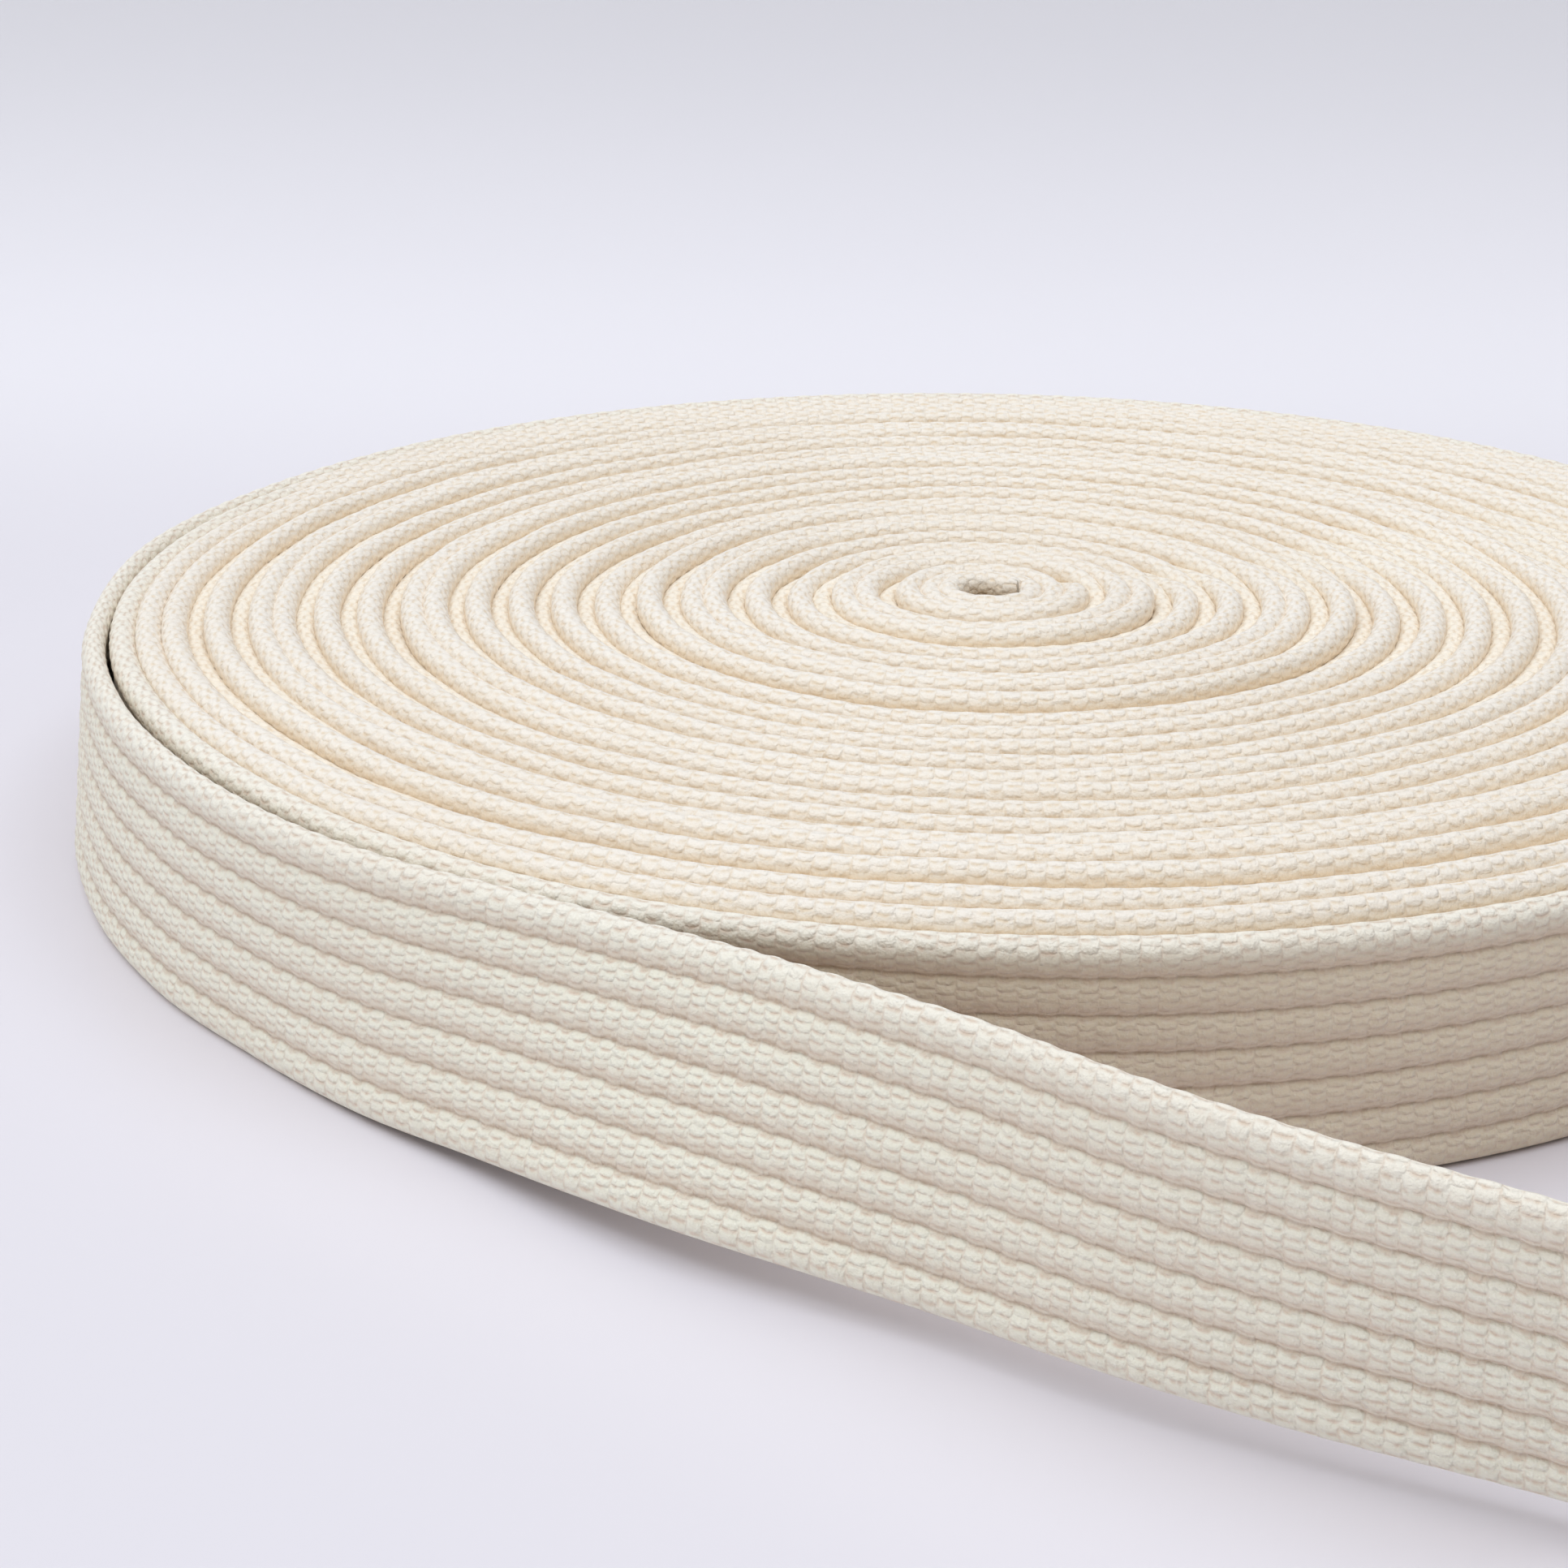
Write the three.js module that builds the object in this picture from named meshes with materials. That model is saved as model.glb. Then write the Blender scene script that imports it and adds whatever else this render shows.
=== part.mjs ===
// Roll of ribbed cotton webbing, wound on itself and standing on its edges, with its outer end loose.
// Millimetres, +Z up, the resting surface at z = 0, the origin under the middle of the whole outline.
import * as THREE from "three";

// The webbing
const webbingWidth = 25;
const webbingThickness = 2.6; // over the ribs, as packed in the roll
const ribCount = 7;
const ribDepth = 0.5; // how far the grooves between two ribs lie below the ribs
const ribShoulder = 0.24; // where a rib reaches its full thickness, as a share of its width
const edgeHalfThickness = 0.75; // half the thickness left at the rounded edges

// The wound roll
const rollAxis = [0.92, 26.61]; // plan place of the roll's middle
const outerRadius = 105.2; // middle of the outermost turn where the loose end begins
const eyeRadius = 4.5; // middle of the first turn round the open eye
const outerEndAngle = 155; // degrees, where the loose end begins, at the back left
const columnsPerTurn = 54;
const twistGroove = 1.7; // depth of the grooves between the main twists on the top
const crownHeight = 1.4; // how far the twists next inside the outermost one stand above it
const unevenHeight = 0.45; // how much neighbouring twists differ in height

// The roll is a little flattened at its front left, and its first turns are oval.
const flatAngle = -146;
const flatSpread = 35;
const flatDepth = 4.2;
const ovalShare = 0.3;
const ovalReach = 10;

// The loose end
const stationsPerRow = 2;

// Middle of the loose end's lower edge in plan, seen from the roll's middle: direction in degrees and
// distance. lift is the height of that edge, and lean is how far the upper edge leans back to the roll.
const looseEndRows = [
  { angle: 155.3, distance: 105.85, lift: 0, lean: 0 },
  { angle: 172, distance: 106.1, lift: 0, lean: 0.6 },
  { angle: 190, distance: 106.1, lift: 0, lean: 2 },
  { angle: 205, distance: 105.8, lift: 0, lean: 2.6 },
  { angle: 218, distance: 105.7, lift: 0, lean: 3.4 },
  { angle: 229, distance: 106.5, lift: 0, lean: 3.0 },
  { angle: 238, distance: 108.8, lift: 0.4, lean: 4.9 },
  { angle: 246, distance: 111.7, lift: 1.3, lean: 7.1 },
  { angle: 252.6, distance: 116.3, lift: 2.4, lean: 9.0 },
  { angle: 258.5, distance: 121.0, lift: 3.0, lean: 9.8 },
  { angle: 264, distance: 125.0, lift: 2.8, lean: 7.6 },
  { angle: 269, distance: 129.7, lift: 2.5, lean: 5.4 },
  { angle: 274.5, distance: 138.3, lift: 2.7, lean: 2.5 },
  { angle: 280, distance: 147.4, lift: 2.6, lean: 0.1 },
  { angle: 286, distance: 159.0, lift: 2.5, lean: -2.2 },
  { angle: 287.4, distance: 163.3, lift: 2.4, lean: -2.6 },
];

const ribPitch = webbingWidth / ribCount;
const toRadians = Math.PI / 180;

const cotton = new THREE.MeshStandardMaterial({ color: 0xeee5d6, roughness: 0.95, metalness: 0 });

// Radius of the middle of a main twist, a number of turns before the outer end. The outermost turns lie
// singly, and farther in each main twist is a high turn with the lower turn beside it.
function twistRadius(turnsBefore) {
  const pairing = Math.max(0, turnsBefore - 1) ** 2 / Math.max(1, turnsBefore);
  return outerRadius - webbingThickness * (turnsBefore + pairing);
}

// Turns from the eye to the outer end, counted so that the first one has the eye's radius.
function countTurns() {
  let turns = 1;
  while (twistRadius(turns) > eyeRadius) {
    turns += 1 / columnsPerTurn;
  }
  return Math.round(turns * columnsPerTurn) / columnsPerTurn;
}

// Point of the roll's plan at a direction in degrees and an undisturbed radius.
function planPoint(angle, radius) {
  const turned = THREE.MathUtils.euclideanModulo(angle - flatAngle + 180, 360) - 180;
  const flat = flatDepth * Math.exp(-((turned / flatSpread) ** 2)) * (radius / outerRadius) ** 1.5;
  const oval = ovalShare * Math.exp(-radius / ovalReach) * Math.cos(2 * angle * toRadians);
  const distance = radius * (1 + oval) - flat;
  return new THREE.Vector2(
    rollAxis[0] + distance * Math.cos(angle * toRadians),
    rollAxis[1] + distance * Math.sin(angle * toRadians),
  );
}

// Height of a main twist's crest: those inside the outermost stand a little proud, and no two are alike.
function crestHeight(turnsBefore, angle) {
  const crown = (crownHeight * Math.min(1, turnsBefore / 2) * twistRadius(turnsBefore)) / outerRadius;
  const wave = Math.sin(2.4 * turnsBefore + 0.9) * Math.cos((angle + 60 * turnsBefore) * toRadians);
  const step = Math.sin(1.7 * turnsBefore);
  return webbingWidth + crown + unevenHeight * (0.6 * wave + 0.4 * step) * Math.min(1, turnsBefore);
}

// Heights and offsets down one face of the webbing, from its upper edge to its lower one.
function ribProfile() {
  const rows = [];
  for (let rib = ribCount - 1; rib >= 0; rib -= 1) {
    const inUpperEdge = rib === ribCount - 1;
    const above = inUpperEdge ? edgeHalfThickness - webbingThickness / 2 : -ribDepth;
    rows.push({ height: (rib + 1) * ribPitch, inset: above });
    rows.push({ height: (rib + 1 - ribShoulder) * ribPitch, inset: 0 });
    rows.push({ height: (rib + ribShoulder) * ribPitch, inset: 0 });
  }
  rows.push({ height: 0, inset: edgeHalfThickness - webbingThickness / 2 });
  return rows;
}

// Collects points and triangles of one closed body.
class BodyBuilder {
  points = [];
  triangles = [];

  point(x, y, z) {
    this.points.push(x, y, z);
    return this.points.length / 3 - 1;
  }

  quad(a, b, c, d) {
    this.triangles.push(a, b, c, a, c, d);
  }

  // Joins two closed loops of equal length. The first lies to the left, walking along with faces outwards.
  band(upper, lower) {
    upper.forEach((point, i) => {
      const next = (i + 1) % upper.length;
      this.quad(point, lower[i], lower[next], upper[next]);
    });
  }

  // Fills a flat outline, with one hole if it has one, seen from the side it faces.
  fill(outline, hole, flat, flip) {
    const asPoints = (loop) => loop.map((point) => flat(point));
    const faces = THREE.ShapeUtils.triangulateShape(asPoints(outline), hole.length ? [asPoints(hole)] : []);
    const loop = [...outline, ...hole];
    for (const [a, b, c] of faces) {
      this.triangles.push(loop[a], loop[flip ? c : b], loop[flip ? b : c]);
    }
  }

  mesh(name, material) {
    const geometry = new THREE.BufferGeometry();
    geometry.setAttribute("position", new THREE.Float32BufferAttribute(this.points, 3));
    geometry.setIndex(this.triangles);
    geometry.computeVertexNormals();
    const made = new THREE.Mesh(geometry, material);
    made.name = name;
    return made;
  }
}

function makeWoundRoll() {
  const body = new BodyBuilder();
  const turns = countTurns();
  const last = Math.round(turns * columnsPerTurn);
  const crest = [];
  const groove = [];
  const eye = [];

  for (let column = 0; column <= last; column += 1) {
    const turnsBefore = (last - column) / columnsPerTurn;
    const angle = outerEndAngle - 360 * turnsBefore;
    const radius = twistRadius(turnsBefore);
    const height = crestHeight(turnsBefore, angle);
    const top = planPoint(angle, radius);
    crest.push(body.point(top.x, top.y, height));
    const outerRim = turnsBefore <= 1;
    const outside = outerRim ? radius + webbingThickness / 2 : (radius + twistRadius(turnsBefore - 1)) / 2;
    const rim = planPoint(angle, outerRim ? outside + edgeHalfThickness - webbingThickness / 2 : outside);
    groove.push(body.point(rim.x, rim.y, outerRim ? webbingWidth - ribDepth : webbingWidth - twistGroove));
    if (column < columnsPerTurn) {
      const lip = planPoint(angle, radius - webbingThickness);
      eye.push(body.point(lip.x, lip.y, webbingWidth - ribDepth));
    }
  }

  const inner = (column) => (column < columnsPerTurn ? eye[column] : groove[column - columnsPerTurn]);
  for (let column = 0; column < last; column += 1) {
    body.quad(inner(column), crest[column], crest[column + 1], inner(column + 1));
    body.quad(crest[column], groove[column], groove[column + 1], crest[column + 1]);
  }

  // The wall round the outside, with its ribs, and the small step where the loose end begins
  const rimColumns = groove.slice(last - columnsPerTurn);
  const rimAngles = rimColumns.map((_, i) => outerEndAngle - 360 + (360 * i) / columnsPerTurn);
  const rimRadii = rimColumns.map((_, i) => twistRadius(1 - i / columnsPerTurn) + webbingThickness / 2);
  let upper = [...rimColumns, crest[last]];
  for (const row of ribProfile().slice(1)) {
    const lower = rimRadii.map((radius, i) => {
      const at = planPoint(rimAngles[i], radius + row.inset);
      return body.point(at.x, at.y, row.height);
    });
    const step = planPoint(outerEndAngle, outerRadius);
    lower.push(body.point(step.x, step.y, row.height));
    body.band(upper, lower);
    upper = lower;
  }
  const foot = upper;

  // The wall of the open eye, with the step of the inner end
  const eyeLoop = [...eye, groove[0], crest[0]];
  const eyeFoot = eyeLoop.map((point) => body.point(body.points[3 * point], body.points[3 * point + 1], 0));
  body.band(eyeFoot, eyeLoop);

  const flat = (point) => new THREE.Vector2(body.points[3 * point], body.points[3 * point + 1]);
  body.fill(foot, eyeFoot, flat, true);
  return body.mesh("wound_roll", cotton);
}

function makeLooseEnd() {
  const body = new BodyBuilder();
  const lowerEdge = new THREE.CatmullRomCurve3(
    looseEndRows.map(
      (row) =>
        new THREE.Vector3(
          rollAxis[0] + row.distance * Math.cos(row.angle * toRadians),
          rollAxis[1] + row.distance * Math.sin(row.angle * toRadians),
          row.lift,
        ),
    ),
  );
  const leaning = new THREE.CatmullRomCurve3(looseEndRows.map((row) => new THREE.Vector3(row.lean, 0, 0)));
  const face = ribProfile();
  const section = [
    ...face.map((row) => ({ height: row.height, offset: webbingThickness / 2 + row.inset })),
    ...[...face].reverse().map((row) => ({ height: row.height, offset: -webbingThickness / 2 - row.inset })),
  ];

  const stations = (looseEndRows.length - 1) * stationsPerRow;
  const rings = [];
  for (let station = 0; station <= stations; station += 1) {
    const along = station / stations;
    const start = lowerEdge.getPoint(along);
    const tangent = lowerEdge.getTangent(along).setZ(0).normalize();
    const outwards = new THREE.Vector3(tangent.y, -tangent.x, 0);
    const leanShare = leaning.getPoint(along).x / webbingWidth;
    const upShare = Math.sqrt(1 - leanShare * leanShare);
    const across = new THREE.Vector3(0, 0, upShare).addScaledVector(outwards, -leanShare);
    const through = new THREE.Vector3(0, 0, leanShare).addScaledVector(outwards, upShare);
    const footing = edgeHalfThickness * Math.abs(leanShare);
    rings.push(
      section.map((corner) => {
        const at = start.clone().addScaledVector(across, corner.height);
        at.addScaledVector(through, corner.offset);
        return body.point(at.x, at.y, Math.max(0, at.z + footing));
      }),
    );
  }

  rings.slice(1).forEach((ring, i) => body.band(ring, rings[i]));
  const flat = (i) => new THREE.Vector2(section[i].offset, section[i].height);
  const indices = section.map((_, i) => i);
  for (const [ring, flip] of [
    [rings[0], false],
    [rings[stations], true],
  ]) {
    for (const [a, b, c] of THREE.ShapeUtils.triangulateShape(indices.map(flat), [])) {
      body.triangles.push(ring[a], ring[flip ? c : b], ring[flip ? b : c]);
    }
  }
  return body.mesh("loose_end", cotton);
}

const webbingRoll = new THREE.Group();
webbingRoll.add(makeWoundRoll());
webbingRoll.add(makeLooseEnd());

export default webbingRoll;
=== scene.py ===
import math

import bmesh
import bpy
import numpy as np
from mathutils import Matrix, Vector


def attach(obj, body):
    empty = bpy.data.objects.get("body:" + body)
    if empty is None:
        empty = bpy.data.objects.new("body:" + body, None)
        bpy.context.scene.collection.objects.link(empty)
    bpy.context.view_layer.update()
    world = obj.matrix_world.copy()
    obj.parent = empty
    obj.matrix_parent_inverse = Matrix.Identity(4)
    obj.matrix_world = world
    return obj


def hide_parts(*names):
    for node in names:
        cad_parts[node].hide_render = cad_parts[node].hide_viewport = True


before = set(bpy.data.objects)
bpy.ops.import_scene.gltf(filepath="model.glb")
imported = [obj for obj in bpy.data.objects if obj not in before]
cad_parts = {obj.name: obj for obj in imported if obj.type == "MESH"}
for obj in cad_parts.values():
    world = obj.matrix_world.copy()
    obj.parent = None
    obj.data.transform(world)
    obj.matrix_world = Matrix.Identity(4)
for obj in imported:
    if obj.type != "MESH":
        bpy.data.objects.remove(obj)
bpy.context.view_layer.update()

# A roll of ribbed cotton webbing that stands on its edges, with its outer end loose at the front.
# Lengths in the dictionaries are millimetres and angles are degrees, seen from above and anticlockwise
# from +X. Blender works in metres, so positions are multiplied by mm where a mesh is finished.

mm = 0.001

webbing = {
    "width": 25.0,
    "thickness": 2.6,  # over the ribs
    "ribs": 7,
    "ribDepth": 0.5,  # how far the grooves lie below the ribs
    "ribFullness": 3.0,  # higher gives narrower grooves and flatter ribs
    "edgeRound": 1.8,  # how much of the width each rounded edge takes
    "scallop": 0.07,  # how far the thick picks push the surface out
    "scallopLength": 3.5,  # along the webbing, from one thick pick to the next but one
}

roll = {
    "axis": (0.92, 26.61),  # plan place of the roll's middle
    "outerEnd": 155.0,  # direction in which the outermost turn goes over into the loose end
    "turns": 39.37,
    "flatAngle": -146.0,  # the roll is a little flattened at its front left
    "flatSpread": 35.0,
    "flatDepth": 4.2,
    "ovalShare": -0.04,  # how oval the turns round the eye are
    "ovalReach": 11.0,
    "swell": 0.32,  # how much the turns swell towards their free edges, which closes the gaps there
    "swellBelow": 4.0,  # the swell starts this far below the upper edge
    "swellOver": 3.0,
    "nestDrop": 1.5,  # a turn that nests between its neighbours' ribs stands this much lower
    "nestAngle": 45.0,  # direction in which turns change from standing to nesting
    "nestChange": 0.12,  # share of a turn that the change takes
    "endRound": 1.6,  # length over which the inner end rounds off
    "endThinnest": 0.12,  # share of the thickness left at that end
    "pushUp": 2.3,  # how far the middle turns are pushed up at the front
    "pushAngle": -75.0,
    "pushFrom": 2.2,  # turn from the outside where the push starts
    "pushOver": 1.8,  # turns that it takes to its full height
    "pushRadius": 85.0,  # within this radius it fades towards the eye
    "stray": 0.12,  # how far the turns stray in and out
    "strayPace": 60.0,  # how fast they do, in millimetres of waver for each radian
    "strayShift": 0.3,  # how much that changes from one turn to the next
    "riseStray": 0.22,  # how far their upper edges stray up and down
    "joinTurns": 0.05,  # turns from the loose end over which stray and swell set in
    "paintedShadowFrom": 0.15,  # turns from the loose end where painted shadow starts on the outermost turn's face
    "paintedShadowOver": 0.3,
}

# Turns counted from the outside, with the loose end's as the first, that nest lower than their neighbours
nestedTurns = [5, 7, 10, 12, 14, 17, 19, 21, 23, 25, 27, 30, 32, 34, 37]

# Middle radius of the webbing in the roll, by the number of turns inwards from the loose end
radiusRows = [
    {"turnsIn": 0.0, "radius": 105.5},
    {"turnsIn": 0.9, "radius": 103.1},
    {"turnsIn": 1.9, "radius": 100.2},
    {"turnsIn": 2.9, "radius": 97.2},
    {"turnsIn": 38.4, "radius": 5.6},
    {"turnsIn": 39.4, "radius": 3.9},
]

# How far the turns stand up, by their number from the outside: here and there the roll has slipped a little
riseRows = [
    {"turn": 1.0, "rise": 0.0},
    {"turn": 5.2, "rise": 0.0},
    {"turn": 6.2, "rise": 0.4},
    {"turn": 15.2, "rise": -0.3},
    {"turn": 16.2, "rise": 0.5},
    {"turn": 25.2, "rise": -0.2},
    {"turn": 26.2, "rise": 0.6},
    {"turn": 33.6, "rise": 0.2},
    {"turn": 34.6, "rise": 1.0},
    {"turn": 41.0, "rise": 1.4},
]

# Middle of the loose end's lower edge, seen from the roll's middle. lift is the height of that edge, and
# lean is how far the upper edge leans back towards the roll.
looseEndRows = [
    {"angle": 155.0, "distance": 105.25, "lift": 0.0, "lean": 0.0},
    {"angle": 172.0, "distance": 106.0, "lift": 0.0, "lean": 0.6},
    {"angle": 190.0, "distance": 106.0, "lift": 0.0, "lean": 2.4},
    {"angle": 205.0, "distance": 105.9, "lift": 0.0, "lean": 3.2},
    {"angle": 218.0, "distance": 106.1, "lift": 0.0, "lean": 3.4},
    {"angle": 229.0, "distance": 106.5, "lift": 0.0, "lean": 3.0},
    {"angle": 238.0, "distance": 108.8, "lift": 0.4, "lean": 4.9},
    {"angle": 246.0, "distance": 111.7, "lift": 1.3, "lean": 7.1},
    {"angle": 252.6, "distance": 116.3, "lift": 2.4, "lean": 9.0},
    {"angle": 258.5, "distance": 121.0, "lift": 3.0, "lean": 9.8},
    {"angle": 264.0, "distance": 125.0, "lift": 2.8, "lean": 7.6},
    {"angle": 269.0, "distance": 129.7, "lift": 2.5, "lean": 5.4},
    {"angle": 274.5, "distance": 138.3, "lift": 2.7, "lean": 2.5},
    {"angle": 280.0, "distance": 147.4, "lift": 2.6, "lean": 0.1},
    {"angle": 286.0, "distance": 159.0, "lift": 2.5, "lean": -2.2},
    {"angle": 287.4, "distance": 163.3, "lift": 2.4, "lean": -2.6},
]

detail = {
    "fineStep": 0.62,  # along the webbing, on the loose end and the outermost turn
    "innerStep": 0.95,
    "innerPieces": 4,
    "leadIn": 17.0,  # the loose end sets off along the roll, from this many degrees before its start
    "curveSteps": 40,  # between two rows of the loose end
    "turnSteps": 720,  # in a turn of the roll, before it is cut to even steps
    "tangentStep": 0.05,  # degrees to each side
    "weldGap": 1e-6,  # metres
    "fineRibCuts": [0.0, 0.06, 0.18, 0.4, 0.6, 0.82, 0.94],  # where a rib is cut, as shares of its width
    "fineEdgeCuts": [0.2, 0.45, 0.65, 0.82, 0.93],  # cuts of the rounded edge, as shares of its round
    "footCut": 0.05,  # lowest cut, just above the foot
    "innerCuts": [1.3, 17.86, 19.6, 21.43, 21.9, 23.0, 23.9, 24.5, 24.85],  # up a face, for hidden turns
}

# How deep below its upper edge the webbing takes on painted warm bounce light, and painted shadow, in
# millimetres
shelter = {
    "from": 0.2,
    "to": 2.6,
    "paintedShadowFrom": 0.9,
    "paintedShadowOver": 2.2,
}

ribPitch = webbing["width"] / webbing["ribs"]


# Where a point of the section lies: how far out, how high, and which way the surface faces there. v runs up
# the outer face from the foot and down the inner one, in millimetres of width.
def sectionShape(v):
    width = webbing["width"]
    edge = webbing["edgeRound"]
    up = np.where(v > width, 2 * width - v, v)
    side = np.where(v > width, -1.0, 1.0)
    inRibs = np.clip(up, ribPitch / 2, width - ribPitch / 2)
    fromRib = np.abs(2 * np.mod(inRibs / ribPitch, 1.0) - 1)
    half = webbing["thickness"] / 2 - webbing["ribDepth"] * fromRib ** webbing["ribFullness"]
    toTop = np.clip((up - (width - edge)) / edge, 0, 1) * math.pi / 2
    toFoot = np.clip((edge - up) / edge, 0, 1) * math.pi / 2
    facingOut = side * np.cos(toTop + toFoot)
    facingUp = np.sin(toTop) - np.sin(toFoot)
    return half * facingOut, np.clip(up, edge, width - edge) + edge * facingUp, facingOut, facingUp


# Cuts up the outer face and down the inner one, from the cuts of each face
def roundCuts(outerFace, innerFace):
    width = webbing["width"]
    up = sorted(set([0.0, width] + outerFace))
    down = sorted(set([0.0] + innerFace), reverse=True)
    return np.array(up + [2 * width - cut for cut in down])


def fineCuts():
    width = webbing["width"]
    edge = webbing["edgeRound"]
    inRibs = [(rib + share) * ribPitch for rib in range(webbing["ribs"]) for share in detail["fineRibCuts"]]
    inFace = [cut for cut in inRibs if edge < cut < width - edge]
    rounds = [0.0] + [edge * share for share in detail["fineEdgeCuts"]]
    footRound = [detail["footCut"]] + [edge - cut for cut in rounds]
    topRound = [width - edge + cut for cut in rounds]
    return [round(cut, 4) for cut in inFace + footRound + topRound]


# Unevenness along the webbing, from -1 to 1, the same on every run
def waver(along, seed):
    waves = [{"length": 97.0, "share": 0.5}, {"length": 41.0, "share": 0.3}, {"length": 17.0, "share": 0.2}]
    total = 0
    for number, wave in enumerate(waves, 3):
        total = total + wave["share"] * np.sin(2 * math.pi * along / wave["length"] + seed * number)
    return total


# Paths that the webbing follows. Each gives, for every station, the length along the webbing, the middle of
# its lower edge, the plan direction outwards, the lean, how much its width is stretched upwards, whether it
# nests, how much painted shadow its face takes, how much its upper edge swells, and how much of its
# thickness it has.

def planPoint(angle, radius):
    turned = np.mod(angle - roll["flatAngle"] + 180, 360) - 180
    share = (radius / radiusRows[0]["radius"]) ** 1.5
    flat = roll["flatDepth"] * np.exp(-((turned / roll["flatSpread"]) ** 2)) * share
    oval = roll["ovalShare"] * np.exp(-radius / roll["ovalReach"]) * np.cos(2 * np.radians(angle))
    distance = radius * (1 + oval) - flat
    x = roll["axis"][0] + distance * np.cos(np.radians(angle))
    y = roll["axis"][1] + distance * np.sin(np.radians(angle))
    return np.stack([x, y], 1)


def turnRadius(turnsIn):
    turns = [row["turnsIn"] for row in radiusRows]
    return np.interp(turnsIn, turns, [row["radius"] for row in radiusRows])


# How far a turn's upper edge stands above the loose end's, pushed up or nested lower, and whether it nests
def turnRise(turnsIn, angle):
    number = turnsIn + 2 - (roll["outerEnd"] - roll["nestAngle"]) / 360
    whole = np.floor(number).astype(int)
    nests = np.isin(whole, nestedTurns).astype(float)
    nestedBefore = np.isin(whole - 1, nestedTurns).astype(float)
    change = np.clip((number - whole) / roll["nestChange"], 0, 1)
    change = change * change * (3 - 2 * change)
    nested = nestedBefore + (nests - nestedBefore) * change
    slipped = np.interp(number, [row["turn"] for row in riseRows], [row["rise"] for row in riseRows])
    towards = (0.5 + 0.5 * np.cos(np.radians(angle - roll["pushAngle"]))) ** 1.5
    share = np.clip((number - roll["pushFrom"]) / roll["pushOver"], 0, 1)
    share = share * np.clip(turnRadius(turnsIn) / roll["pushRadius"], 0, 1)
    return roll["pushUp"] * towards * share + slipped - roll["nestDrop"] * nested, nested


def stationsAlong(plan, step):
    lengths = np.concatenate([[0], np.cumsum(np.linalg.norm(np.diff(plan, axis=0), axis=1))])
    count = int(round(lengths[-1] / step))
    return lengths, np.linspace(0, lengths[-1], count + 1)


def woundPath(fromTurn, toTurn, step, startLength):
    turnsIn = np.linspace(fromTurn, toTurn, int((toTurn - fromTurn) * detail["turnSteps"]) + 1)
    plan = planPoint(roll["outerEnd"] - 360 * turnsIn, turnRadius(turnsIn))
    lengths, along = stationsAlong(plan, step)
    turnsIn = np.interp(along, lengths, turnsIn)
    angle = roll["outerEnd"] - 360 * turnsIn
    started = np.clip(turnsIn / roll["joinTurns"], 0, 1)
    stray = waver(np.radians(angle) * roll["strayPace"], turnsIn * roll["strayShift"])
    plan = planPoint(angle, turnRadius(turnsIn) + roll["stray"] * started * stray)
    nudge = detail["tangentStep"]
    ahead = planPoint(angle - nudge, turnRadius(turnsIn + nudge / 360))
    behind = planPoint(angle + nudge, turnRadius(turnsIn - nudge / 360))
    tangent = ahead - behind
    tangent /= np.linalg.norm(tangent, axis=1)[:, None]
    toEnd = np.clip((lengths[-1] - along) / roll["endRound"], 0, 1)
    full = np.sqrt(1 - (1 - toEnd) ** 2) if toTurn == roll["turns"] else np.ones(len(along))
    inside = np.clip(turnsIn - 1, 0, 1)
    rise, nested = turnRise(turnsIn, angle)
    rise = rise + roll["riseStray"] * inside * waver(along + startLength, 1.0)
    foot = np.maximum(0, rise)
    return {
        "length": along + startLength,
        "foot": np.column_stack([plan, foot]),
        "outwards": np.stack([-tangent[:, 1], tangent[:, 0]], 1),
        "lean": np.zeros(len(along)),
        "stretch": (webbing["width"] + rise - foot) / webbing["width"],
        "nested": nested * inside,
        "paintedShadow": np.clip((turnsIn - roll["paintedShadowFrom"]) / roll["paintedShadowOver"], 0, 1),
        "swell": roll["swell"] * started * np.clip(0.5 + turnsIn / 3, 0, 1),
        "full": np.maximum(full, roll["endThinnest"]),
    }


# A smooth curve through rows of values, with a number of steps between each two
def throughRows(values, steps):
    padded = np.vstack([2 * values[0] - values[1], values, 2 * values[-1] - values[-2]])
    t = np.linspace(0, 1, steps, endpoint=False)[:, None]
    spans = []
    for a, b, c, d in zip(padded, padded[1:], padded[2:], padded[3:]):
        spans.append(b + 0.5 * t * (c - a + t * (2 * a - 5 * b + 4 * c - d + t * (3 * (b - c) + d - a))))
    return np.vstack(spans + [values[-1:]])


def looseEndPath(step):
    angle = np.radians([row["angle"] for row in looseEndRows])
    distance = np.array([row["distance"] for row in looseEndRows])
    rows = np.column_stack([
        roll["axis"][0] + distance * np.cos(angle),
        roll["axis"][1] + distance * np.sin(angle),
        [row["lift"] for row in looseEndRows],
        [row["lean"] for row in looseEndRows],
    ])
    turnsIn = np.array([detail["leadIn"] / 360])
    wound = planPoint(roll["outerEnd"] - detail["leadIn"], turnRadius(turnsIn))
    rows = np.vstack([np.column_stack([wound, [[0.0, 0.0]]]), rows])
    curve = throughRows(rows, detail["curveSteps"])[detail["curveSteps"]:]
    lengths, along = stationsAlong(curve[:, :2], step)
    curve = np.column_stack([np.interp(along, lengths, curve[:, i]) for i in range(4)])
    tangent = np.gradient(curve[:, :2], axis=0)
    tangent /= np.linalg.norm(tangent, axis=1)[:, None]
    return {
        "length": along,
        "foot": np.column_stack([curve[:, :2], np.maximum(0, curve[:, 2])]),
        "outwards": np.stack([tangent[:, 1], -tangent[:, 0]], 1),
        "lean": curve[:, 3] / webbing["width"],
        "stretch": np.ones(len(along)),
        "nested": np.zeros(len(along)),
        "paintedShadow": np.zeros(len(along)),
        "swell": np.zeros(len(along)),
        "full": np.ones(len(along)),
    }


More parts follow.
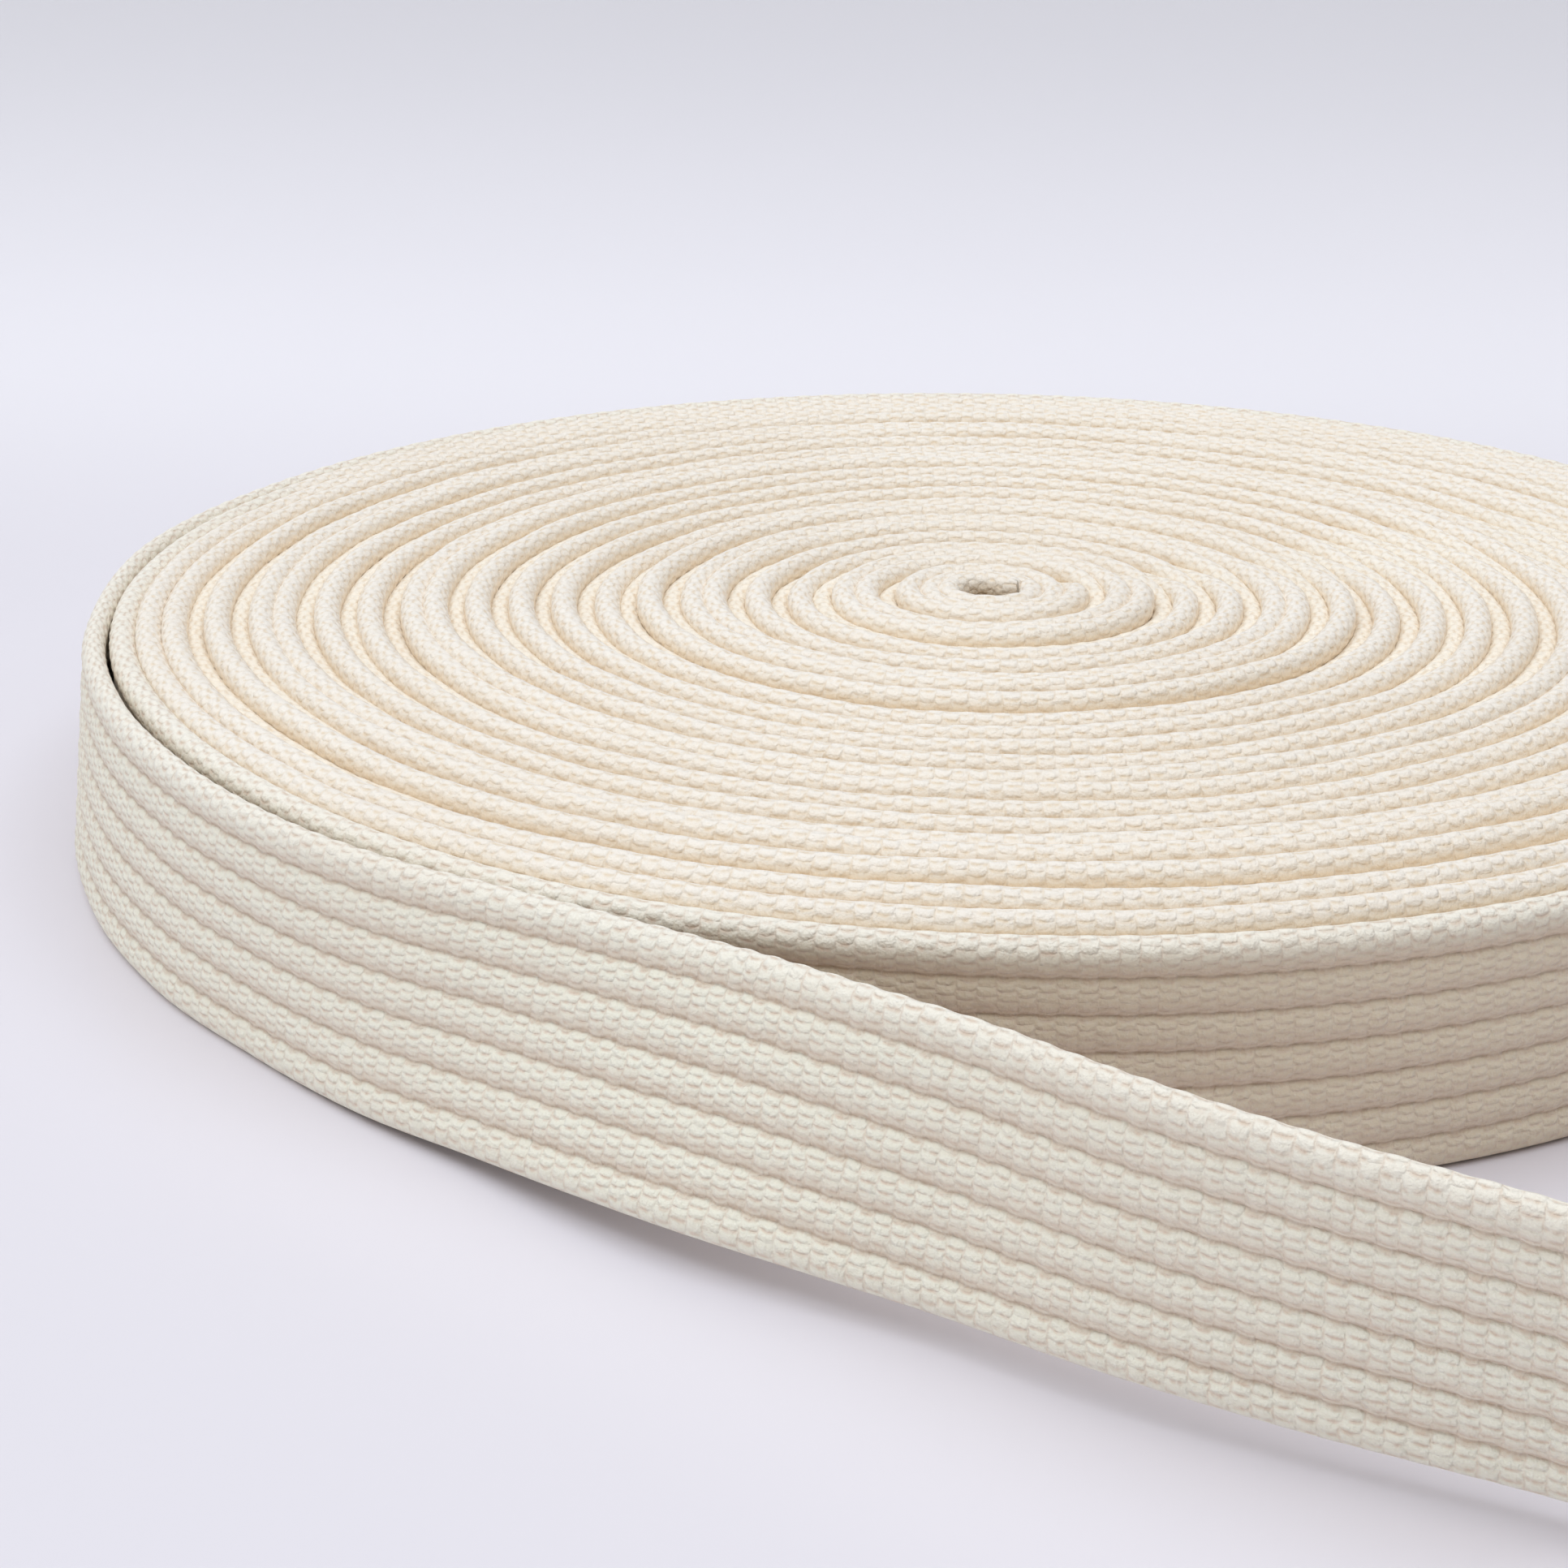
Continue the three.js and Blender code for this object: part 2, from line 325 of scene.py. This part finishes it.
# The webbing itself: a grid bent round the section and along a path, welded and closed at its ends
def makeRibbon(name, path, cuts):
    bm = bmesh.new()
    bm.loops.layers.uv.new("weave")
    bm.loops.layers.uv.new("shelter")
    columns = len(path["length"]) - 1
    rows = len(cuts) - 1
    bmesh.ops.create_grid(bm, x_segments=columns, y_segments=rows, size=0.5, calc_uvs=True)
    mesh = bpy.data.meshes.new(name)
    bm.to_mesh(mesh)
    bm.free()

    flat = np.empty(len(mesh.vertices) * 3)
    mesh.vertices.foreach_get("co", flat)
    flat = flat.reshape(-1, 3)
    column = np.rint((flat[:, 0] + 0.5) * columns).astype(int)
    v = cuts[np.rint((flat[:, 1] + 0.5) * rows).astype(int)]
    length = path["length"][column]
    offset, height, facingOut, facingUp = sectionShape(v)
    push = webbing["scallop"] * np.cos(2 * math.pi * length / webbing["scallopLength"])
    push *= np.cos(2 * math.pi * v / ribPitch)
    nearTop = np.clip((height - webbing["width"] + roll["swellBelow"]) / roll["swellOver"], 0, 1)
    offset = offset * path["full"][column] * (1 + path["swell"][column] * nearTop) + push * facingOut
    height = height + push * facingUp * (height > webbing["width"] / 2)
    height = height * path["stretch"][column]
    lean = path["lean"][column][:, None]
    upright = np.sqrt(1 - lean * lean)
    outwards = np.column_stack([path["outwards"][column], np.zeros(len(v))])
    upwards = np.array([[0.0, 0.0, 1.0]])
    across = upwards * upright - outwards * lean
    through = upwards * lean + outwards * upright
    points = path["foot"][column] + across * height[:, None] + through * offset[:, None]
    points[:, 2] = np.maximum(points[:, 2], 0)
    mesh.vertices.foreach_set("co", (points * mm).ravel())

    layer = mesh.uv_layers["weave"]
    uv = np.empty(len(mesh.loops) * 2)
    layer.uv.foreach_get("vector", uv)
    uv = uv.reshape(-1, 2)
    station = np.rint(uv[:, 0] * columns).astype(int)
    upFace = cuts[np.rint(uv[:, 1] * rows).astype(int)]
    layer.uv.foreach_set("vector", np.column_stack([path["length"][station], upFace]).ravel())
    # Painted warm bounce light deepens below the upper edge, and more on turns that nest lower
    below = np.abs(upFace - webbing["width"])
    # Painted shadow on every inner face, and on the outer face of the wound turns from a little past where
    # the loose end leaves the roll, fading in below the upper edge
    paintedShadow = np.maximum(path["paintedShadow"][station], upFace > webbing["width"])
    paintedShadow = paintedShadow * np.clip((below - shelter["paintedShadowFrom"]) / shelter["paintedShadowOver"], 0, 1)
    below = below + roll["nestDrop"] * path["nested"][station]
    layer = mesh.uv_layers["shelter"]
    layer.uv.foreach_set("vector", np.column_stack([below, paintedShadow]).ravel())

    bm = bmesh.new()
    bm.from_mesh(mesh)
    bmesh.ops.remove_doubles(bm, verts=bm.verts, dist=detail["weldGap"])
    for face in bm.faces:
        face.smooth = True
    ends = [edge for edge in bm.edges if edge.is_boundary]
    for edge in ends:
        edge.smooth = False
    bmesh.ops.holes_fill(bm, edges=ends, sides=0)
    bmesh.ops.recalc_face_normals(bm, faces=bm.faces)
    bm.to_mesh(mesh)
    bm.free()
    ribbon = bpy.data.objects.new(name, mesh)
    bpy.context.scene.collection.objects.link(ribbon)
    print(name, sum(len(face.vertices) - 2 for face in mesh.polygons), "triangles")
    return ribbon


# Materials

def mathNode(tree, operation, first, second=0.0, third=0.0):
    node = tree.nodes.new("ShaderNodeMath")
    node.operation = operation
    for socket, value in zip(node.inputs, (first, second, third)):
        if isinstance(value, (int, float)):
            socket.default_value = value
        else:
            tree.links.new(value, socket)
    return node.outputs[0]


def noiseNode(tree, vector, scale, octaves):
    node = tree.nodes.new("ShaderNodeTexNoise")
    node.inputs["Scale"].default_value = scale
    node.inputs["Detail"].default_value = octaves
    tree.links.new(vector, node.inputs["Vector"])
    return node.outputs["Fac"]


# A smooth rise from 0 to 1 while the value goes over the given span
def ramp(tree, value, span):
    node = tree.nodes.new("ShaderNodeMapRange")
    node.interpolation_type = "SMOOTHSTEP"
    node.inputs["From Min"].default_value = span[0]
    node.inputs["From Max"].default_value = span[1]
    tree.links.new(value, node.inputs["Value"])
    return node.outputs["Result"]


# Inputs 0, 6 and 7 of a Mix node are its factor and its two colours, and output 2 is the colour
def mixColour(tree, share, first, second):
    node = tree.nodes.new("ShaderNodeMix")
    node.data_type = "RGBA"
    tree.links.new(share, node.inputs[0])
    for socket, value in ((node.inputs[6], first), (node.inputs[7], second)):
        if isinstance(value, tuple):
            socket.default_value = value + (1.0,)
        else:
            tree.links.new(value, socket)
    return node.outputs[2]


weave = {
    "repeat": 3.5,  # along the webbing: two columns of floats, the second half a float higher
    "floatHeight": 0.893,  # four floats to a rib
    "endDepth": 0.45,  # how deep a float dips towards its ends
    "sideDepth": 0.5,  # and towards the floats above and below
    "arc": 0.12,  # how far the ends of a float bend up, in millimetres
    "change": (0.38, 0.62),  # where one column of floats goes over into the next
    "unevenness": 0.9,  # how far floats stray from their columns, in millimetres
    "strayScale": 0.5,
    "strayAcross": 0.45,  # share of that unevenness up and down
    "patchScale": 0.9,  # gaps show in patches
    "patches": (0.3, 0.62),  # spans such as this give where a change starts and where it is full
    "gapBetweenRows": (0.4, 1.0),  # from the middle of a float to its edge
    "gapFade": 0.4,  # how much narrower that gap gets towards the ends of the floats
    "gapAtEnds": (0.5, 1.0),
    "endGapShare": 0.6,
    "zigzag": 0.16,  # how far a groove swings to each side, in millimetres
    "groove": (0.8, 1.0),  # from the middle of a rib to the middle of the groove
    "grooveDepth": 0.25,
    "lower": (-0.1, 1.0),  # the lower part of a rib, which takes painted shade
    "fuzzScale": 2600.0,
    "fuzzHeight": 0.8,
    "toneScale": 28.0,
}


# Floats of the warp in staggered columns, the grooves between ribs and the fuzz, on UV in millimetres
def weaveGroup():
    tree = bpy.data.node_groups.new("ribbedWeave", "ShaderNodeTree")
    tree.interface.new_socket("Weave", in_out="INPUT", socket_type="NodeSocketVector")
    tree.interface.new_socket("Place", in_out="INPUT", socket_type="NodeSocketVector")
    for name in ("Height", "Gaps", "Groove", "Lower", "Fuzz", "Tone"):
        tree.interface.new_socket(name, in_out="OUTPUT", socket_type="NodeSocketFloat")
    given = tree.nodes.new("NodeGroupInput")
    result = tree.nodes.new("NodeGroupOutput")

    split = tree.nodes.new("ShaderNodeSeparateXYZ")
    tree.links.new(given.outputs["Weave"], split.inputs[0])
    noise = noiseNode(tree, given.outputs["Weave"], weave["strayScale"], 2.0)
    stray = mathNode(tree, "SUBTRACT", noise, 0.5)
    stray = mathNode(tree, "MULTIPLY", stray, weave["unevenness"])
    along = mathNode(tree, "ADD", split.outputs[0], stray)
    across = mathNode(tree, "MULTIPLY_ADD", stray, weave["strayAcross"], split.outputs[1])

    lengthways = mathNode(tree, "DIVIDE", along, weave["repeat"] / 2)
    fromEven = mathNode(tree, "PINGPONG", lengthways, 1.0)
    fromMiddle = mathNode(tree, "PINGPONG", lengthways, 0.5)
    toEnd = mathNode(tree, "POWER", mathNode(tree, "MULTIPLY", fromMiddle, 2.0), 2.0)
    bent = mathNode(tree, "MULTIPLY_ADD", toEnd, -weave["arc"], across)
    crossways = mathNode(tree, "DIVIDE", bent, weave["floatHeight"] / 2)
    fromRow = mathNode(tree, "PINGPONG", crossways, 1.0)
    inOdd = ramp(tree, fromEven, weave["change"])
    other = mathNode(tree, "MULTIPLY_ADD", fromRow, -2.0, 1.0)
    fromRow = mathNode(tree, "MULTIPLY_ADD", inOdd, other, fromRow)
    dip = mathNode(tree, "POWER", fromRow, 2.0)
    floats = mathNode(tree, "MULTIPLY_ADD", dip, -weave["sideDepth"], 1.0)
    floats = mathNode(tree, "MULTIPLY_ADD", toEnd, -weave["endDepth"], floats)
    noise = noiseNode(tree, given.outputs["Weave"], weave["patchScale"], 1.0)
    patchy = ramp(tree, noise, weave["patches"])
    inMiddle = mathNode(tree, "MULTIPLY_ADD", toEnd, -weave["gapFade"], 1.0)
    atRow = mathNode(tree, "MULTIPLY", ramp(tree, fromRow, weave["gapBetweenRows"]), inMiddle)
    atEnd = ramp(tree, toEnd, weave["gapAtEnds"])
    atEnd = mathNode(tree, "MULTIPLY", atEnd, weave["endGapShare"])
    gaps = mathNode(tree, "MULTIPLY", mathNode(tree, "MAXIMUM", atRow, atEnd), patchy)

    swing = mathNode(tree, "COSINE", mathNode(tree, "MULTIPLY", along, 2 * math.pi / weave["repeat"]))
    folded = mathNode(tree, "PINGPONG", across, webbing["width"])
    folded = mathNode(tree, "MULTIPLY_ADD", swing, weave["zigzag"], folded)
    folded = mathNode(tree, "MAXIMUM", folded, ribPitch / 2)
    folded = mathNode(tree, "MINIMUM", folded, webbing["width"] - ribPitch / 2)
    inRib = mathNode(tree, "FRACT", mathNode(tree, "DIVIDE", folded, ribPitch))
    fromRib = mathNode(tree, "ABSOLUTE", mathNode(tree, "MULTIPLY_ADD", inRib, 2.0, -1.0))
    groove = ramp(tree, fromRib, weave["groove"])
    lower = ramp(tree, mathNode(tree, "MULTIPLY_ADD", inRib, -2.0, 1.0), weave["lower"])

    fuzz = noiseNode(tree, given.outputs["Place"], weave["fuzzScale"], 3.0)
    height = mathNode(tree, "MULTIPLY_ADD", groove, -weave["grooveDepth"], floats)
    height = mathNode(tree, "MULTIPLY_ADD", fuzz, weave["fuzzHeight"], height)
    tone = noiseNode(tree, given.outputs["Place"], weave["toneScale"], 2.0)
    found = {"Height": height, "Gaps": gaps, "Groove": groove, "Lower": lower, "Fuzz": fuzz, "Tone": tone}
    for name, value in found.items():
        tree.links.new(value, result.inputs[name])
    return tree


# Colours of the floats, with painted warm bounce light on those lower down between the turns, painted
# shadow inside the roll and behind the loose end, and painted shade in the gaps and grooves between them.
# shade is how far a rib takes on the painted gap shade towards its foot, and depth is how strongly the
# weave's relief shows, in metres.
cloth = {
    "face": {
        "grain": (0.93, 0.86, 0.75),
        "paintedBounce": (0.89, 0.84, 0.70),
        "paintedShadow": (0.83, 0.705, 0.53),
        "gapShade": (0.75, 0.585, 0.45),
        "groove": (0.58, 0.41, 0.28),
        "shade": 0.6,
        "depth": 0.00026,
    },
    "edge": {
        "grain": (0.94, 0.85, 0.755),
        "paintedBounce": (0.97, 0.865, 0.71),
        "paintedShadow": (0.93, 0.70, 0.44),
        "gapShade": (0.84, 0.67, 0.48),
        "groove": (0.88, 0.72, 0.54),
        "shade": 0.0,
        "depth": 0.00024,
    },
    "grooveShare": 0.6,
    "speck": (0.93, 0.91, 0.86),  # painted highlights on fibres that catch the light
    "speckSpan": (0.35, 0.75),
    "speckShare": 0.18,
    "warm": (0.84, 0.72, 0.58),  # broad warmer patches
    "warmSpan": (0.35, 0.7),
    "warmShare": 0.15,
    "roughness": 0.93,
    "specular": 0.2,
    "sheen": 0.25,
    "sheenRoughness": 0.6,
}


def clothMaterial(name, part, group):
    colours = cloth[part]
    material = bpy.data.materials.new(name)
    material.use_nodes = True
    tree = material.node_tree
    shader = tree.nodes["Principled BSDF"]
    shader.inputs["Roughness"].default_value = cloth["roughness"]
    shader.inputs["Specular IOR Level"].default_value = cloth["specular"]
    shader.inputs["Sheen Weight"].default_value = cloth["sheen"]
    shader.inputs["Sheen Roughness"].default_value = cloth["sheenRoughness"]

    woven = tree.nodes.new("ShaderNodeGroup")
    woven.node_tree = group
    uv = tree.nodes.new("ShaderNodeUVMap")
    uv.uv_map = "weave"
    depths = tree.nodes.new("ShaderNodeUVMap")
    depths.uv_map = "shelter"
    place = tree.nodes.new("ShaderNodeTexCoord")
    tree.links.new(uv.outputs["UV"], woven.inputs["Weave"])
    tree.links.new(place.outputs["Object"], woven.inputs["Place"])

    split = tree.nodes.new("ShaderNodeSeparateXYZ")
    tree.links.new(depths.outputs["UV"], split.inputs[0])
    # Painted warm bounce light below the upper edge and on nested turns
    below = ramp(tree, split.outputs[0], (shelter["from"], shelter["to"]))
    colour = mixColour(tree, below, colours["grain"], colours["paintedBounce"])
    # Painted shadow on faces inside the roll and behind the loose end
    colour = mixColour(tree, split.outputs[1], colour, colours["paintedShadow"])
    # Painted shade towards each rib's foot
    lower = mathNode(tree, "MULTIPLY", woven.outputs["Lower"], colours["shade"])
    colour = mixColour(tree, lower, colour, colours["gapShade"])
    # Painted shade in the gaps between floats
    colour = mixColour(tree, woven.outputs["Gaps"], colour, colours["gapShade"])
    # Painted shade in the grooves between ribs
    grooves = mathNode(tree, "MULTIPLY", woven.outputs["Groove"], cloth["grooveShare"])
    colour = mixColour(tree, grooves, colour, colours["groove"])
    # Painted highlights on fibres
    speck = ramp(tree, woven.outputs["Fuzz"], cloth["speckSpan"])
    speck = mathNode(tree, "MULTIPLY", speck, cloth["speckShare"])
    colour = mixColour(tree, speck, colour, cloth["speck"])
    warm = ramp(tree, woven.outputs["Tone"], cloth["warmSpan"])
    warm = mathNode(tree, "MULTIPLY", warm, cloth["warmShare"])
    colour = mixColour(tree, warm, colour, cloth["warm"])
    tree.links.new(colour, shader.inputs["Base Color"])

    bump = tree.nodes.new("ShaderNodeBump")
    bump.inputs["Strength"].default_value = 1.0
    bump.inputs["Distance"].default_value = colours["depth"]
    tree.links.new(woven.outputs["Height"], bump.inputs["Height"])
    tree.links.new(bump.outputs["Normal"], shader.inputs["Normal"])
    return material


# The roll and its loose end

def dress(piece, material):
    piece.data.materials.append(material)
    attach(piece, "root")


def makeWebbing():
    group = weaveGroup()
    outerCloth = clothMaterial("naturalCottonFace", "face", group)
    innerCloth = clothMaterial("naturalCottonEdge", "edge", group)
    fine = fineCuts()
    coarse = detail["innerCuts"]

    loosePath = looseEndPath(detail["fineStep"])
    looseEnd = makeRibbon("looseEnd", loosePath, roundCuts(fine, fine))
    dress(looseEnd, outerCloth)
    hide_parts("loose_end")

    outerPath = woundPath(0.0, 1.0, detail["fineStep"], 0.0)
    outerTurn = makeRibbon("outerTurn", outerPath, roundCuts(fine, coarse))
    dress(outerTurn, outerCloth)
    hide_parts("wound_roll")

    whole = woundPath(1.0, roll["turns"], detail["innerStep"], outerPath["length"][-1])
    lasts = np.linspace(0, len(whole["length"]) - 1, detail["innerPieces"] + 1).astype(int)
    for number, (first, last) in enumerate(zip(lasts, lasts[1:]), 1):
        part = {key: values[first:last + 1] for key, values in whole.items()}
        inner = makeRibbon(f"innerTurns{number}", part, roundCuts(coarse, coarse))
        dress(inner, innerCloth)
        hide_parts("wound_roll")


# Floor, light and camera

stage = {
    "floor": (0.79, 0.745, 0.79),
    "paintedLightFloor": (0.89, 0.85, 0.89),  # painted light, just behind the roll
    "paintedFalloffFloor": (0.68, 0.65, 0.68),  # painted falloff of light: the backdrop is a little darker further back
    "near": (0.1, 0.26),  # metres behind the part's middle where painted light makes the floor lighter
    "far": (0.27, 0.7),  # and then the painted falloff makes it darker again
    "front": -1.6,  # metres, as the rest of the floor's sizes
    "bend": 0.36,  # where the floor starts to curve up into the backdrop
    "bendRadius": 0.9,
    "bendAngle": 80.0,
    "bendSteps": 48,
    "side": 2.2,
    "roughness": 0.35,
    "specular": 0.5,
    "world": (1.0, 0.965, 0.91),
    "lamp": (0.86, 0.93, 1.0),
    "worldStrength": 0.28,
}

# Soft lamps that all point at the part, with places and sizes in metres and powers in watts
lights = [
    {"name": "overhead", "place": (0.0, 0.03, 1.7), "size": 2.2, "power": 21.5},
    {"name": "left", "place": (-0.9, -0.1, 1.4), "size": 1.1, "power": 7.5},
    {"name": "right", "place": (0.9, -0.2, 1.3), "size": 1.1, "power": 4.2},
    {"name": "frontLeft", "place": (-1.1, -1.25, 0.35), "size": 0.8, "power": 6.2},
]

camera = {
    "place": (0.0, -353.3, 131.0),  # millimetres from the roll's middle, on the floor
    "turn": 3.879,  # degrees to the left
    "tilt": 20.221,  # degrees down
    "roll": 0.148,
    "lens": 71.3,
    "sensor": 36.0,
    "nearest": 0.01,  # metres
}


def makeStage():
    bm = bmesh.new()
    start = bm.verts.new((-stage["side"], stage["front"], 0))
    end = bm.verts.new((-stage["side"], stage["bend"], 0))
    bm.edges.new((start, end))
    centre = (0, stage["bend"], stage["bendRadius"])
    turn = math.radians(stage["bendAngle"])
    bmesh.ops.spin(bm, geom=[end], cent=centre, axis=(1, 0, 0), angle=turn, steps=stage["bendSteps"])
    swept = bmesh.ops.extrude_edge_only(bm, edges=bm.edges[:])
    moved = [item for item in swept["geom"] if isinstance(item, bmesh.types.BMVert)]
    bmesh.ops.translate(bm, verts=moved, vec=(2 * stage["side"], 0, 0))
    bmesh.ops.recalc_face_normals(bm, faces=bm.faces)
    if bm.faces[:][0].normal.z < 0:
        bmesh.ops.reverse_faces(bm, faces=bm.faces)
    for face in bm.faces:
        face.smooth = True
    mesh = bpy.data.meshes.new("floor")
    bm.to_mesh(mesh)
    bm.free()
    floor = bpy.data.objects.new("floor", mesh)
    bpy.context.scene.collection.objects.link(floor)
    material = bpy.data.materials.new("paleFloor")
    material.use_nodes = True
    tree = material.node_tree
    shader = tree.nodes["Principled BSDF"]
    place = tree.nodes.new("ShaderNodeTexCoord")
    split = tree.nodes.new("ShaderNodeSeparateXYZ")
    tree.links.new(place.outputs["Object"], split.inputs[0])
    # Painted light: lighter floor just behind the part, and darker further back where the light falls off
    behind = mathNode(tree, "ADD", split.outputs[1], split.outputs[2])
    near = ramp(tree, behind, stage["near"])
    colour = mixColour(tree, near, stage["floor"], stage["paintedLightFloor"])
    far = ramp(tree, behind, stage["far"])
    colour = mixColour(tree, far, colour, stage["paintedFalloffFloor"])
    tree.links.new(colour, shader.inputs["Base Color"])
    shader.inputs["Roughness"].default_value = stage["roughness"]
    shader.inputs["Specular IOR Level"].default_value = stage["specular"]
    floor.data.materials.append(material)


def makeLights():
    world = bpy.data.worlds.new("studio")
    world.use_nodes = True
    background = world.node_tree.nodes["Background"]
    background.inputs["Color"].default_value = stage["world"] + (1.0,)
    background.inputs["Strength"].default_value = stage["worldStrength"]
    bpy.context.scene.world = world
    for light in lights:
        data = bpy.data.lights.new(light["name"], "AREA")
        data.size = light["size"]
        data.energy = light["power"]
        data.color = stage["lamp"]
        lamp = bpy.data.objects.new(light["name"], data)
        lamp.location = light["place"]
        shining = -Vector(light["place"])
        lamp.rotation_euler = shining.to_track_quat("-Z", "Y").to_euler()
        bpy.context.scene.collection.objects.link(lamp)


def makeCamera():
    data = bpy.data.cameras.new("camera")
    data.sensor_width = camera["sensor"]
    data.lens = camera["lens"]
    data.clip_start = camera["nearest"]
    seen = bpy.data.objects.new("camera", data)
    x, y, z = camera["place"]
    place = Vector((x + roll["axis"][0], y + roll["axis"][1], z)) * mm
    turned = Matrix.Rotation(math.radians(camera["turn"]), 4, "Z")
    tilted = Matrix.Rotation(math.radians(90 - camera["tilt"]), 4, "X")
    rolled = Matrix.Rotation(math.radians(camera["roll"]), 4, "Z")
    seen.matrix_world = Matrix.Translation(place) @ turned @ tilted @ rolled
    bpy.context.scene.collection.objects.link(seen)
    bpy.context.scene.camera = seen


makeCamera()
print("camera set")
makeWebbing()
print("webbing wound")
makeStage()
makeLights()
bpy.context.scene.view_settings.view_transform = "Standard"
print("stage and lights set")
